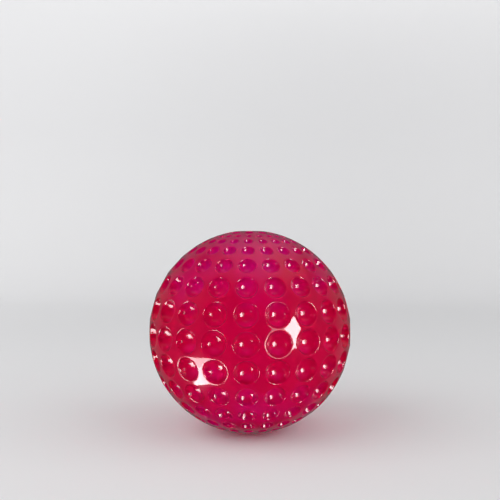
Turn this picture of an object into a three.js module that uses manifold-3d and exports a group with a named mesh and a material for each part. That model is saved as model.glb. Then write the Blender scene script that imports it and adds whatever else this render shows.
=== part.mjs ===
// Dog toy ball: two thick half shells of translucent rubber, welded at the equator round an air
// chamber. The skin carries rows of round pits, each a deep bowl, smaller towards the poles.
// Millimetres, +Z up through the poles, origin at the ball's centre, front towards -Y.

import * as THREE from 'three';
import { mergeVertices } from 'three/addons/utils/BufferGeometryUtils.js';
import Module from 'manifold-3d';

const wasm = await Module();
wasm.setup();

// Ball
const ballDiameter = 85;
const wallThickness = 10;
const padDiameter = 12; // flat at each pole, where the moulding gate was trimmed

// Pit pattern, with one row on the equator
const columnCount = 22;
const columnLand = 1.65; // skin left between the pits of two columns
const rowLand = 0.15; // skin left between the pits of two rows, at the equator
const rowLandGrowth = 1.2; // how much wider it would be at the pole
const smallestPit = 2.5; // rows end where the pits would get smaller than this
const pitDepth = 4.2; // on the equator; the other rows scale it with their pit

// Tongue and groove of the welded joint
const tongueWidth = 2;
const tongueHeight = 4;
const jointClearance = 0.3;

// Facets
const hollowSteps = 7;
const bowlSteps = 3;
const rimFacet = 3.4; // length of one side of a pit's rim
const fewestSides = 5;
const lidShare = 0.25; // how far a cutter's wall runs on past the skin

const ballRadius = ballDiameter / 2;
const hollowRadius = ballRadius - wallThickness;
const padRadius = padDiameter / 2;
const padLatitude = Math.acos(padRadius / ballRadius);
const jointLatitude = Math.asin(jointClearance / 2 / ballRadius);
const halfColumn = Math.PI / columnCount;
const equatorPitRadius = pitRadiusAt(0, columnCount);

const tpu = new THREE.MeshStandardMaterial({ color: 0xb8053c, roughness: 0.18, metalness: 0 });

// Pit radius that leaves the column land between the pits of one row
function pitRadiusAt(latitude, count) {
  const rowLength = 2 * Math.PI * ballRadius * Math.cos(latitude);
  return (rowLength / count - columnLand) / 2;
}

// Rows of pits from the equator to one pole, as latitudes in radians
function pitRows() {
  const rows = [];
  let latitude = 0;
  let pitRadius = equatorPitRadius;
  while (pitRadius >= smallestPit / 2) {
    rows.push({ latitude, pitRadius, count: columnCount });
    latitude += (2 * pitRadius + rowLand + rowLandGrowth * Math.sin(latitude)) / ballRadius;
    pitRadius = pitRadiusAt(latitude, columnCount);
  }
  // Half as many pits share the ring between the last row and the pad
  const last = rows.at(-1);
  const lastEdge = last.latitude + last.pitRadius / ballRadius;
  const ringLatitude = (lastEdge + padLatitude) / 2;
  const ringCount = Math.round(columnCount / 2);
  const ringSpace = (padLatitude - lastEdge) * ballRadius;
  const ringPit = Math.min(pitRadiusAt(ringLatitude, ringCount), (ringSpace - rowLandGrowth) / 2);
  rows.push({ latitude: ringLatitude, pitRadius: ringPit, count: ringCount });
  // Each row's band of skin runs from land to land
  rows.forEach((row, i) => {
    const next = rows[i + 1];
    const edge = row.latitude + row.pitRadius / ballRadius;
    row.bandStart = i === 0 ? jointLatitude : rows[i - 1].bandEnd;
    row.bandEnd = next ? (edge + next.latitude - next.pitRadius / ballRadius) / 2 : padLatitude;
  });
  return rows;
}

// Closed geometry to a manifold solid
function toSolid(geometry) {
  const bare = geometry.clone();
  bare.deleteAttribute('normal');
  bare.deleteAttribute('uv');
  const merged = mergeVertices(bare);
  return new wasm.Manifold(new wasm.Mesh({
    numProp: 3,
    vertProperties: new Float32Array(merged.attributes.position.array),
    triVerts: new Uint32Array(merged.index.array),
  }));
}

// Manifold solid to a geometry
function toGeometry(solid) {
  const mesh = solid.getMesh();
  const geometry = new THREE.BufferGeometry();
  geometry.setAttribute('position', new THREE.BufferAttribute(mesh.vertProperties, 3));
  geometry.setIndex(new THREE.BufferAttribute(mesh.triVerts, 1));
  geometry.computeVertexNormals();
  return geometry;
}

// Point on a circle about the ball's centre, as radius and height
function onCircle(radius, latitude) {
  return new THREE.Vector2(radius * Math.cos(latitude), radius * Math.sin(latitude));
}

// Outline of the air chamber from the pole to the joint
function hollowOutline() {
  const end = Math.asin(jointClearance / 2 / hollowRadius);
  const points = [new THREE.Vector2(0, hollowRadius)];
  for (let i = hollowSteps - 1; i >= 0; i -= 1) {
    points.push(onCircle(hollowRadius, end + (Math.PI / 2 - end) * i / hollowSteps));
  }
  return points;
}

// Joint face from the air chamber outwards; a positive rise cuts the groove, a negative one adds the tongue
function jointOutline(width, rise) {
  const face = jointClearance / 2;
  const middle = (hollowRadius + ballRadius - pitDepth) / 2;
  return [
    new THREE.Vector2(middle - width / 2, face),
    new THREE.Vector2(middle - width / 2, face + rise),
    new THREE.Vector2(middle + width / 2, face + rise),
    new THREE.Vector2(middle + width / 2, face),
  ];
}

// Skin from the joint to the pad, one flat tile high for each row
function skinOutline(rows) {
  const points = [onCircle(ballRadius, jointLatitude)];
  for (const row of rows) {
    points.push(onCircle(ballRadius, row.bandEnd));
  }
  points.push(new THREE.Vector2(0, ballRadius * Math.sin(padLatitude)));
  return points;
}

// Distance from the ball's centre to the middle of a row's flat tile, along the pit's axis
function tileDistance(row) {
  const flat = new THREE.Vector2(Math.cos(halfColumn), 1);
  const start = onCircle(ballRadius, row.bandStart).multiply(flat);
  const along = onCircle(ballRadius, row.bandEnd).multiply(flat).sub(start);
  const axis = onCircle(1, row.latitude);
  const share = -start.cross(axis) / along.cross(axis);
  return start.addScaledVector(along, share).dot(axis);
}

// Upper half shell turned about +Z, with its lathe corners midway between the columns
function halfShell(rows, width, rise) {
  const outline = [...hollowOutline(), ...jointOutline(width, rise), ...skinOutline(rows)];
  const shell = new THREE.LatheGeometry(outline, columnCount, halfColumn, 2 * Math.PI);
  return shell.rotateX(Math.PI / 2);
}

// What a pit takes out of the skin: a round bowl, open to the outside
function pitCutter(pitRadius) {
  const depth = pitDepth * pitRadius / equatorPitRadius;
  const bowlRadius = (pitRadius * pitRadius + depth * depth) / (2 * depth);
  const rimAngle = Math.asin(pitRadius / bowlRadius);
  const points = [];
  for (let i = 0; i <= bowlSteps; i += 1) {
    const angle = rimAngle * i / bowlSteps;
    const rise = bowlRadius * (1 - Math.cos(angle));
    points.push(new THREE.Vector2(bowlRadius * Math.sin(angle), rise - depth));
  }
  // The wall keeps its slope past the skin, up to a lid clear of the ball
  const rim = points.pop();
  const lid = rim.clone().lerp(points.at(-1), -lidShare);
  points.push(lid, new THREE.Vector2(0, lid.y));
  const sides = Math.max(fewestSides, Math.round(2 * Math.PI * pitRadius / rimFacet));
  return new THREE.LatheGeometry(points, sides);
}

// Cutters of all the pits of one half, joined
function pitCutters(rows) {
  const cutters = [];
  for (const row of rows) {
    const cutter = pitCutter(row.pitRadius);
    cutter.translate(0, tileDistance(row), 0).rotateX(Math.PI - row.latitude);
    for (let i = 0; i < row.count; i += 1) {
      cutters.push(toSolid(cutter.clone().rotateZ(2 * Math.PI * i / row.count)));
    }
  }
  return wasm.Manifold.union(cutters);
}

// One moulded half as a named mesh
function moulding(name, shell, cutters) {
  const mesh = new THREE.Mesh(toGeometry(toSolid(shell).subtract(cutters)), tpu);
  mesh.name = name;
  return mesh;
}

const rows = pitRows();
const cutters = pitCutters(rows);
const groove = halfShell(rows, tongueWidth + 2 * jointClearance, tongueHeight + jointClearance);
const tongue = halfShell(rows, tongueWidth, -tongueHeight);

const upperHalf = moulding('upper_half_shell', groove, cutters);
const lowerHalf = moulding('lower_half_shell', tongue, cutters);
lowerHalf.rotation.y = Math.PI; // turned over, with a column of pits still at the front

const ball = new THREE.Group();
ball.name = 'dog_toy_ball';
ball.add(upperHalf, lowerHalf);

export default ball;
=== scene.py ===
# Dog toy ball: two crimson half shells of translucent rubber, welded at the equator and pitted all over
import math
import bmesh
import bpy
from mathutils import Matrix, Vector, noise


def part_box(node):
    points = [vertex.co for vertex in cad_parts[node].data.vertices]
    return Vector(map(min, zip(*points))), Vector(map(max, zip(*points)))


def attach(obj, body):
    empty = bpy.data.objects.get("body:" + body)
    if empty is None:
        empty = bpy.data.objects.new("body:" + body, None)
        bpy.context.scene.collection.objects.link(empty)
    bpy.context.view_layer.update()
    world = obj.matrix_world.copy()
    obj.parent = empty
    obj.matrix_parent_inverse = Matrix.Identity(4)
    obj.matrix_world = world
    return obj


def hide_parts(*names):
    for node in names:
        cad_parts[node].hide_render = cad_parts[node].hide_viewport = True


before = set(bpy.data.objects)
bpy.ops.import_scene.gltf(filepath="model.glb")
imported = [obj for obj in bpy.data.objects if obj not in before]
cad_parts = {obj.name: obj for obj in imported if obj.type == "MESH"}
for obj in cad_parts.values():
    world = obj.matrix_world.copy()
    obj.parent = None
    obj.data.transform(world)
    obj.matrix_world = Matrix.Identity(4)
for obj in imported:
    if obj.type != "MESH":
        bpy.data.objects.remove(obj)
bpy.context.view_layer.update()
scene = bpy.context.scene
mm = 0.001
weldDistance = 0.002 * mm

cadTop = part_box("upper_half_shell")[1]
ball = {
    "radius": cadTop.x,               # the corners of the CAD skin reach the true sphere along X
    "padHeight": cadTop.z,            # flat at the pole
    "padRings": (0.8, 0.55, 0.3),     # edge loops in the flat, as shares of its radius
    "wall": 10 * mm,
    "hollowRings": (28, 52, 76),      # edge loops in the wall of the air chamber, degrees of latitude
    "seam": 0.02 * mm,                # gap between the halves
    "seamLoop": 0.25 * mm,            # an edge loop this near the seam keeps the shading even across it
    "ripple": 0.01 * mm,              # faint waviness of the moulded skin
    "rippleLength": 3.5 * mm,
    "rounding": 1,                    # subdivision levels
}
pits = {
    "columns": 22,
    "columnLand": 1.65 * mm,          # skin between the pits of two columns
    "rowLand": 0.15 * mm,             # skin between the pits of two rows, at the equator
    "rowLandGrowth": 1.2 * mm,        # how much wider it would be at the pole
    "smallest": 2.5 * mm,
    "sides": 16,
    # from the bottom of the bowl out over the rounded rim: distance and depth, as shares of the pit's radius
    "profile": [(0, 0.91), (0.315, 0.86), (0.605, 0.68), (0.8, 0.42),
                (0.89, 0.165), (0.935, 0.06), (0.972, 0.024), (1.005, 0.008)],
    # read by the dye and the painted light: depth in the bowl, and the same depth counted towards the pole
    "layers": ("bowl", "north"),
}


# radius of a pit that leaves the land between the columns
def pitRadius(latitude, count):
    return (2 * math.pi * ball["radius"] * math.cos(latitude) / count - pits["columnLand"]) / 2


# rows from the equator to the pole, by the same rule as the CAD skin
def pitRows():
    columns, radius = pits["columns"], ball["radius"]
    rows, latitude = [], 0
    pit = pitRadius(0, columns)
    while pit >= pits["smallest"] / 2:
        rows.append({"latitude": latitude, "pit": pit, "count": columns, "sides": pits["sides"]})
        latitude += (2 * pit + pits["rowLand"] + pits["rowLandGrowth"] * math.sin(latitude)) / radius
        pit = pitRadius(latitude, columns)
    # a ring of half as many pits between the last row and the pad
    padLatitude = math.asin(ball["padHeight"] / radius)
    lastEdge = rows[-1]["latitude"] + rows[-1]["pit"] / radius
    middle, count = (lastEdge + padLatitude) / 2, columns // 2
    pit = min(pitRadius(middle, count), ((padLatitude - lastEdge) * radius - pits["rowLandGrowth"]) / 2)
    rows.append({"latitude": middle, "pit": pit, "count": count, "sides": 2 * pits["sides"]})
    # each row's band of skin runs from land to land
    edges = [(row["latitude"] - row["pit"] / radius, row["latitude"] + row["pit"] / radius) for row in rows]
    for i, row in enumerate(rows):
        row["top"] = (edges[i][1] + edges[i + 1][0]) / 2 if i + 1 < len(rows) else padLatitude
        row["bottom"] = rows[i - 1]["top"] if i else -row["top"]
    return rows


# point at a latitude and longitude, longitude 0 at the front
def onBall(radius, latitude, longitude):
    return radius * Vector((math.cos(latitude) * math.sin(longitude),
                            -math.cos(latitude) * math.cos(longitude), math.sin(latitude)))


# the border of a pit's tile: an angle round the pit, run evenly round a square
def onBorder(row, angle):
    def side(turn):
        wrapped = abs((turn + math.pi) % (2 * math.pi) - math.pi)
        return max(-1, min(1, 2 - wrapped / (math.pi / 4)))
    across, up = side(angle), side(angle - math.pi / 2)
    reach = row["top"] - row["latitude"] if up > 0 else row["latitude"] - row["bottom"]
    return onBall(ball["radius"], row["latitude"] + up * reach, across * math.pi / row["count"])


def everything(mesh):
    return mesh.verts[:] + mesh.edges[:] + mesh.faces[:]


# one row of pits: a profile spun into a bowl, grown to its tile, laid on the ball and copied round
def pitRow(row):
    tile = bmesh.new()
    bowl, north = (tile.verts.layers.float.new(name) for name in pits["layers"])
    corner = Vector((1, 1, 0)).normalized()      # a side of the spin has to meet the tile's corner
    spine = [tile.verts.new(share * row["pit"] * corner - Vector((0, 0, depth * row["pit"])))
             for share, depth in pits["profile"]]
    for inner, outer in zip(spine, spine[1:]):
        tile.edges.new((inner, outer))
    bmesh.ops.spin(tile, geom=everything(tile), cent=(0, 0, 0), axis=(0, 0, 1),
                   angle=2 * math.pi, steps=row["sides"], use_merge=True)
    bmesh.ops.remove_doubles(tile, verts=tile.verts[:], dist=weldDistance)
    border = set(growLoop(tile, [edge for edge in tile.edges if edge.is_boundary])[1])
    axis, poleward = onBall(1, row["latitude"], 0), onBall(1, row["latitude"] + math.pi / 2, 0)
    east = Vector((1, 0, 0))
    for vert in tile.verts:
        angle = math.atan2(vert.co.y, vert.co.x)
        if vert in border:
            vert.co = onBorder(row, angle)
            continue
        vert[bowl] = -vert.co.z / row["pit"]
        vert[north] = vert[bowl] * vert.co.y / row["pit"]
        across = vert.co.xy.length
        height = math.sqrt(ball["radius"] ** 2 - across ** 2) + vert.co.z
        vert.co = height * axis + across * (math.cos(angle) * east + math.sin(angle) * poleward)
    if row["latitude"] == 0:
        bmesh.ops.bisect_plane(tile, geom=everything(tile), plane_co=(0, 0, ball["seam"] / 2),
                               plane_no=(0, 0, 1), clear_inner=True)
        bmesh.ops.bisect_plane(tile, geom=everything(tile), plane_co=(0, 0, ball["seamLoop"]),
                               plane_no=(0, 0, 1))
    copies = row["count"] - 1
    bmesh.ops.spin(tile, geom=everything(tile), cent=(0, 0, 0), axis=(0, 0, 1),
                   angle=2 * math.pi / row["count"] * copies, steps=copies, use_duplicate=True)
    return tile


# grows a loop of edges and gives back the new edges and vertices
def growLoop(mesh, edges):
    grown = bmesh.ops.extrude_edge_only(mesh, edges=edges)["geom"]
    newVerts = [item for item in grown if isinstance(item, bmesh.types.BMVert)]
    fresh = set(newVerts)
    newEdges = [item for item in grown
                if isinstance(item, bmesh.types.BMEdge) and fresh.issuperset(item.verts)]
    return newEdges, newVerts


# the upper half: pitted skin, pad, joint face and air chamber in one closed wall
def halfShell():
    shell = bmesh.new()
    for name in pits["layers"]:
        shell.verts.layers.float.new(name)
    crease = shell.edges.layers.float.new("crease_edge")
    for row in pitRows():
        tile = pitRow(row)
        mesh = bpy.data.meshes.new("pit_row")
        tile.to_mesh(mesh)
        tile.free()
        shell.from_mesh(mesh)
        bpy.data.meshes.remove(mesh)
    bmesh.ops.remove_doubles(shell, verts=shell.verts[:], dist=weldDistance)
    openEdges = [edge for edge in shell.edges if edge.is_boundary]
    padEdges = [edge for edge in openEdges if edge.verts[0].co.z > ball["padHeight"] / 2]
    jointEdges = [edge for edge in openEdges if edge.verts[0].co.z < ball["padHeight"] / 2]
    # pad at the pole
    padRadius = padEdges[0].verts[0].co.xy.length
    for share in ball["padRings"]:
        padEdges, padVerts = growLoop(shell, padEdges)
        for vert in padVerts:
            vert.co.xy = vert.co.xy.normalized() * padRadius * share
    bmesh.ops.triangle_fill(shell, edges=padEdges, use_beauty=True)
    # joint face, with the second material
    hollowRadius = ball["radius"] - ball["wall"]
    innerEdges, innerVerts = growLoop(shell, jointEdges)
    for edge in innerEdges:
        edge.link_faces[0].material_index = 1
    for vert in innerVerts:
        vert.co.xy = vert.co.xy.normalized() * hollowRadius
    for edge in jointEdges + innerEdges:
        edge[crease] = 1
        edge.smooth = False
    # wall of the air chamber, up to the pole
    for latitude in map(math.radians, ball["hollowRings"]):
        innerEdges, innerVerts = growLoop(shell, innerEdges)
        for vert in innerVerts:
            around = vert.co.xy.normalized() * hollowRadius * math.cos(latitude)
            vert.co = (around.x, around.y, hollowRadius * math.sin(latitude))
    bmesh.ops.triangle_fill(shell, edges=innerEdges, use_beauty=True)
    bmesh.ops.recalc_face_normals(shell, faces=shell.faces[:])
    for face in shell.faces:
        face.smooth = True
    return shell


# one half in its place, rippled there so that the ripples run on across the seam
def addHalf(name, shell, turn, materials):
    mesh = bpy.data.meshes.new(name)
    shell.to_mesh(mesh)
    mesh.transform(turn)
    for vert in mesh.vertices:
        wave = noise.noise(vert.co / ball["rippleLength"])
        vert.co += vert.co.normalized() * ball["ripple"] * wave
    for material in materials:
        mesh.materials.append(material)
    piece = bpy.data.objects.new(name, mesh)
    scene.collection.objects.link(piece)
    rounding = piece.modifiers.new("rounding", "SUBSURF")
    rounding.levels = rounding.render_levels = ball["rounding"]
    return piece


# shader maths written as Python: a wrapped socket
class Wire:
    def __init__(self, tree, socket=None):
        self.tree, self.socket = tree, socket

    def node(self, kind, settings, inputs, output=0):
        made = self.tree.nodes.new(kind)
        for name, value in settings.items():
            setattr(made, name, value)
        for name, value in inputs.items():
            if isinstance(value, Wire):
                self.tree.links.new(value.socket, made.inputs[name])
            else:
                made.inputs[name].default_value = value
        return Wire(self.tree, None if output is None else made.outputs[output])

    def sum(self, operation, first, second):
        return self.node("ShaderNodeMath", {"operation": operation}, {0: first, 1: second})

    def __add__(self, other):
        return self.sum("ADD", self, other)

    def __sub__(self, other):
        return self.sum("SUBTRACT", self, other)

    def __rsub__(self, other):
        return self.sum("SUBTRACT", other, self)

    def __mul__(self, other):
        return self.sum("MULTIPLY", self, other)

    __radd__, __rmul__ = __add__, __mul__


def newMaterial(name):
    material = bpy.data.materials.new(name)
    material.use_nodes = True
    tree = material.node_tree
    tree.nodes.clear()
    return material, Wire(tree)


def finishMaterial(tree, shader):
    tree.node("ShaderNodeOutputMaterial", {}, {"Surface": shader}, None)


# a mix of two colours, which leaves its node by the third output
def mixColour(tree, share, first, second):
    return tree.node("ShaderNodeMix", {"data_type": "RGBA"}, {"Factor": share, "A": first, "B": second}, 2)


tpu = {
    "crimson": (0.78, 0.001, 0.07, 1),
    "crimsonPaintedLightInPits": (0.95, 0.0012, 0.092, 1),   # painted light: lighter towards the bottom of a pit, to lift the pit's shade
    # magenta: of the dye's random clouds, and of the painted reflection near the poles
    "magenta": (0.92, 0.004, 0.38, 1),
    # painted caustic light, hot pink
    "paintedCaustic": (1.0, 0.004, 0.16, 1),
    "pitPaintedReflection": 0.9,             # painted reflection: how strongly pits near the poles turn magenta
    "cloudMagenta": 1.2,
    "cloudStart": 0.33,            # the noise at which the clouds add no magenta
    "polePaintedReflection": 0.8,
    "polePaintedReflectionStart": 0.65,             # height, as a share of the radius, where the painted reflection turns the poles magenta
    "paintedCausticStart": -0.08,            # how far down a pit's lower side the painted caustic light sets in, and is full
    "paintedCausticFull": -0.22,
    "cloudScale": 60,
    "cloudDetail": 2,
    "smearScale": 140,
    "smearDetail": 4,
    "roughness": 0.25,             # of the cloudy body, under the clean skin
    "smearRoughness": 0.1,
    "smearRelief": 0.3,
    "smearHeight": 0.1 * mm,
    "skinRoughness": 0.05,
    "clear": 0.75,                 # share of the light that goes through
    "ior": 1.5,
}


# clear dyed rubber: magenta clouds, painted reflection in the pits and towards the poles, painted light in
# the pits, painted caustic light low in each pit, faint smears
def crimsonTpu():
    material, tree = newMaterial("crimson_tpu")
    place = tree.node("ShaderNodeTexCoord", {}, {}, "Object")
    height = tree.node("ShaderNodeSeparateXYZ", {}, {"Vector": place}, "Z")
    poles = tree.node("ShaderNodeMath", {"operation": "ABSOLUTE"}, {0: height * (1 / ball["radius"])})
    half = tree.node("ShaderNodeMath", {"operation": "SIGN"}, {0: height})
    bowl, north = (tree.node("ShaderNodeAttribute", {"attribute_name": name}, {}, "Fac")
                   for name in pits["layers"])
    clouds = tree.node("ShaderNodeTexNoise", {},
                       {"Vector": place, "Scale": tpu["cloudScale"], "Detail": tpu["cloudDetail"]})
    smears = tree.node("ShaderNodeTexNoise", {},
                       {"Vector": place, "Scale": tpu["smearScale"], "Detail": tpu["smearDetail"]})
    # magenta share: random dye clouds, plus a painted reflection in the pits near the poles and towards the
    # poles
    tint = tree.node("ShaderNodeClamp", {}, {
        "Value": bowl * poles * tpu["pitPaintedReflection"] + (clouds - tpu["cloudStart"]) * tpu["cloudMagenta"]
        + (poles - tpu["polePaintedReflectionStart"]) * tpu["polePaintedReflection"]})
    # painted caustic light on the lower side of each pit, broken up by the clouds
    paintedCausticShare = tree.node("ShaderNodeMapRange", {"interpolation_type": "SMOOTHSTEP"}, {
        "Value": north * half * clouds, "From Min": tpu["paintedCausticStart"], "From Max": tpu["paintedCausticFull"]})
    # crimson on the land, lightened with depth in each pit as painted light against the pit's shade
    body = mixColour(tree, bowl, tpu["crimson"], tpu["crimsonPaintedLightInPits"])
    # dye clouds with the painted reflection and the painted light in the pits
    dyeAndPaintedLight = mixColour(tree, tint, body, tpu["magenta"])
    relief = tree.node("ShaderNodeBump", {}, {
        "Height": smears, "Strength": tpu["smearRelief"], "Distance": tpu["smearHeight"]})
    # a black specular tint takes the haze off the rough body, and the coat gives the sharp reflections
    skin = tree.node("ShaderNodeBsdfPrincipled", {}, {
        "Base Color": mixColour(tree, paintedCausticShare, dyeAndPaintedLight, tpu["paintedCaustic"]),
        "Roughness": tpu["roughness"] + smears * tpu["smearRoughness"],
        "Normal": relief, "IOR": tpu["ior"], "Transmission Weight": tpu["clear"],
        "Specular Tint": (0, 0, 0, 1), "Coat Weight": 1, "Coat Roughness": tpu["skinRoughness"]})
    finishMaterial(tree, skin)
    return material


# the faces inside the weld don't show, because the halves are fused there
def weldFaces():
    material, tree = newMaterial("weld")
    finishMaterial(tree, tree.node("ShaderNodeBsdfPrincipled", {}, {"Alpha": 0}))
    return material


shellMaterials = crimsonTpu(), weldFaces()
shell = halfShell()
upper = addHalf("upper_half", shell, Matrix.Identity(4), shellMaterials)
lower = addHalf("lower_half", shell, Matrix.Rotation(math.pi, 4, "Y"), shellMaterials)
print("half shells:", len(shell.faces), "faces each before rounding,",
      len([edge for edge in shell.edges if edge.is_boundary]), "open edges")
shell.free()
for piece, node in ((upper, "upper_half_shell"), (lower, "lower_half_shell")):
    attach(piece, "root")
    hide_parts(node)

# floor that sweeps up into a backdrop
stage = {
    "colour": (0.8, 0.8, 0.81, 1),
    "depth": 900 * mm,
    "width": 3000 * mm,
    "height": 1200 * mm,
    "sweep": 300 * mm,
    "sweepSteps": 12,
}


def paleSweep():
    material, tree = newMaterial("pale_floor")
    finishMaterial(tree, tree.node("ShaderNodeBsdfDiffuse", {}, {"Color": stage["colour"]}))
    sheet = bmesh.new()
    bmesh.ops.create_grid(sheet, x_segments=1, y_segments=1, size=0.5)
    bmesh.ops.scale(sheet, vec=(stage["width"], 2 * stage["depth"], 1), verts=sheet.verts[:])
    bmesh.ops.translate(sheet, vec=(0, 0, -ball["padHeight"]), verts=sheet.verts[:])
    back = [edge for edge in sheet.edges if all(vert.co.y > 0 for vert in edge.verts)]
    bmesh.ops.translate(sheet, vec=(0, 0, stage["height"]), verts=growLoop(sheet, back)[1])
    bmesh.ops.bevel(sheet, geom=back, offset=stage["sweep"], affect="EDGES", segments=stage["sweepSteps"],
                    profile=0.5, material=-1)
    mesh = bpy.data.meshes.new("floor")
    sheet.to_mesh(mesh)
    sheet.free()
    for polygon in mesh.polygons:
        polygon.use_smooth = True
    mesh.materials.append(material)
    floor = bpy.data.objects.new("floor", mesh)
    scene.collection.objects.link(floor)
    floor.visible_glossy = False     # its reflection would veil the lower skin


paleSweep()
print("floor: sweep of", len(bpy.data.meshes["floor"].polygons), "faces")

# level camera, a little above the ball's middle
camera = {
    "distance": 272 * mm,
    "elevation": 7.2,
    "azimuth": 1.85,
    "lens": 45.6,
    "nearest": 10 * mm,
}


def levelCamera():
    lens = bpy.data.cameras.new("camera")
    lens.lens = camera["lens"]
    lens.clip_start = camera["nearest"]
    eye = bpy.data.objects.new("camera", lens)
    elevation, azimuth = math.radians(camera["elevation"]), math.radians(camera["azimuth"])
    eye.location = onBall(camera["distance"], elevation, azimuth)
    eye.rotation_euler = (math.pi / 2, 0, azimuth)
    scene.collection.objects.link(eye)
    scene.camera = eye


levelCamera()
print("camera:", round(camera["distance"] / mm), "mm away, lens", camera["lens"])

# soft panels, hidden from the camera: place, aim and size in millimetres, turn about the vertical in degrees
# mirrored: shows in the ball's gloss, while the other panels give plain soft light
# through: also shines through the rubber
lamps = {
    "right_panel": {"place": (131, -137, 9), "aim": (17, -38, 4), "turn": 0, "size": (55, 94),
                    "radiance": 16, "mirrored": True, "through": False},
    "right_halo": {"place": (115, -153, 9), "aim": (17, -38, 4), "turn": 0, "size": (101, 94),
                   "radiance": 4, "mirrored": True, "through": False},
    "left_near": {"place": (-49, -56, -41), "aim": (-49, -56, 0), "turn": -60, "size": (30, 31),
                  "radiance": 16, "mirrored": True, "through": False},
    "left_far": {"place": (-77, -72, -41), "aim": (-77, -72, 0), "turn": -60, "size": (54, 36),
                 "radiance": 11, "mirrored": True, "through": False},
    "left_fill": {"place": (-550, -350, 500), "aim": (0, 0, 0), "turn": 0, "size": (800, 800),
                  "radiance": 1.4, "mirrored": False, "through": True},
    "right_fill": {"place": (550, -250, 500), "aim": (0, 0, 0), "turn": 0, "size": (800, 800),
                   "radiance": 1.15, "mirrored": False, "through": True},
    "back_rim": {"place": (0, 330, 0), "aim": (0, 0, 0), "turn": 0, "size": (1800, 1000),
                 "radiance": 0.12, "mirrored": True, "through": True},
}


def softPanel(name, lamp, ballOnly):
    light = bpy.data.lights.new(name, "AREA")
    light.shape = "RECTANGLE"
    light.size, light.size_y = (side * mm for side in lamp["size"])
    light.energy = lamp["radiance"] * math.pi * light.size * light.size_y
    panel = bpy.data.objects.new(name, light)
    place, aim = Vector(lamp["place"]) * mm, Vector(lamp["aim"]) * mm
    facing = (place - aim).to_track_quat("Z", "Y").to_matrix().to_4x4()
    turn = Matrix.Rotation(math.radians(lamp["turn"]), 4, "Z")
    panel.matrix_world = Matrix.Translation(place) @ turn @ facing
    panel.visible_camera = False
    panel.visible_glossy = lamp["mirrored"]
    panel.visible_diffuse = not lamp["mirrored"]
    panel.visible_transmission = lamp["through"]
    if lamp["mirrored"]:
        panel.light_linking.receiver_collection = ballOnly
    scene.collection.objects.link(panel)


# the mirrored panels light only the halves, so that they don't bleach the floor
ballOnly = bpy.data.collections.new("ball_only")
for piece in (upper, lower):
    ballOnly.objects.link(piece)
for name, lamp in lamps.items():
    softPanel(name, lamp, ballOnly)

# overhead cloth, brightest in its middle, that the upper skin mirrors as a haze
scrim = {
    "place": (130 * mm, 20 * mm, 550 * mm),
    "reach": 650 * mm,
    "sides": 32,
    "radiance": 0.52,
}


def overheadScrim():
    material, tree = newMaterial("scrim_cloth")
    place = tree.node("ShaderNodeTexCoord", {}, {}, "Object")
    offset = tree.node("ShaderNodeVectorMath", {"operation": "DISTANCE"},
                       {0: place, 1: scrim["place"]}, "Value")
    fade = tree.node("ShaderNodeMapRange", {"interpolation_type": "SMOOTHSTEP"},
                     {"Value": offset, "From Min": scrim["reach"], "From Max": 0})
    light = mixColour(tree, fade, (0, 0, 0, 1), (1, 1, 1, 1))
    finishMaterial(tree, tree.node("ShaderNodeEmission", {}, {"Color": light, "Strength": scrim["radiance"]}))
    cloth = bmesh.new()
    bmesh.ops.create_circle(cloth, cap_ends=True, segments=scrim["sides"], radius=scrim["reach"])
    bmesh.ops.translate(cloth, vec=scrim["place"], verts=cloth.verts[:])
    mesh = bpy.data.meshes.new("scrim")
    cloth.to_mesh(mesh)
    cloth.free()
    mesh.materials.append(material)
    sheet = bpy.data.objects.new("scrim", mesh)
    sheet.visible_camera = False
    sheet.visible_shadow = False
    scene.collection.objects.link(sheet)


overheadScrim()
print("studio:", len(lamps), "panels and a scrim")

# white surroundings, kept out of the reflections
world = bpy.data.worlds.new("studio")
scene.world = world
world.use_nodes = True
world.node_tree.nodes["Background"].inputs["Color"].default_value = (1, 1, 1, 1)
world.cycles_visibility.glossy = False

scene.view_settings.view_transform = "Standard"
